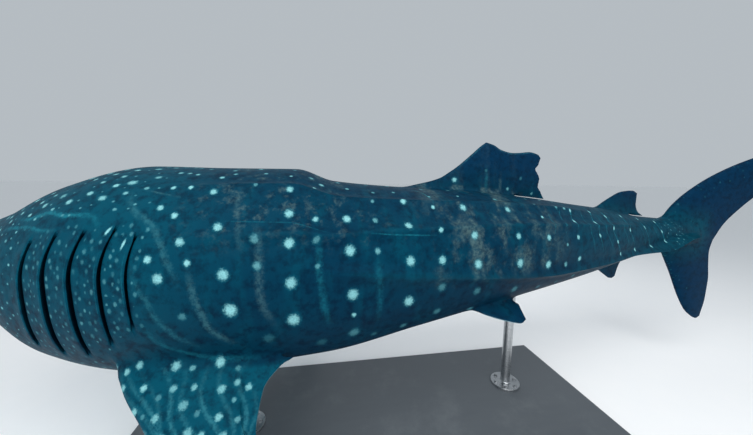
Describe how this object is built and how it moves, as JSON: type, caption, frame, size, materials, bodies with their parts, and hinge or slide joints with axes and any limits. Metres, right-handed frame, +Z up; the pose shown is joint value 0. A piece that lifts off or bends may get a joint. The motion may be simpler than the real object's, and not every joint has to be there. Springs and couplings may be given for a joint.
{
  "type": "whale shark model",
  "caption": "Life-size whale shark in a gentle swimming curve with ridged flanks, gill slits, worn dorsal fin and spread pectorals, on a plain display stand",
  "frame": {"origin": "centre of the underside of the stand's base, on the floor", "axes": "+Z up; the head points to -X and the tail to +X; the left side of the fish faces -Y"},
  "size_m": [6.8857, 2.3364, 2.1999],
  "materials": {
    "skin": "satin painted skin",
    "eye": "polished",
    "steel": "brushed",
    "board": "satin paint"
  },
  "bodies": {
    "root": {"head": "skin", "gill_region": "skin", "trunk": "skin", "tail_stalk": "skin", "dorsal_fin_first": "skin", "dorsal_fin_second": "skin", "anal_fin": "skin", "caudal_fin_upper": "skin", "caudal_fin_lower": "skin", "pectoral_fin_left": "skin", "pectoral_fin_right": "skin", "pelvic_fin_left": "skin", "pelvic_fin_right": "skin", "eye_left": "eye", "eye_right": "eye", "stand_base": "board", "stand_rod_front": "steel", "stand_rod_rear": "steel"}
  },
  "joints": []
}
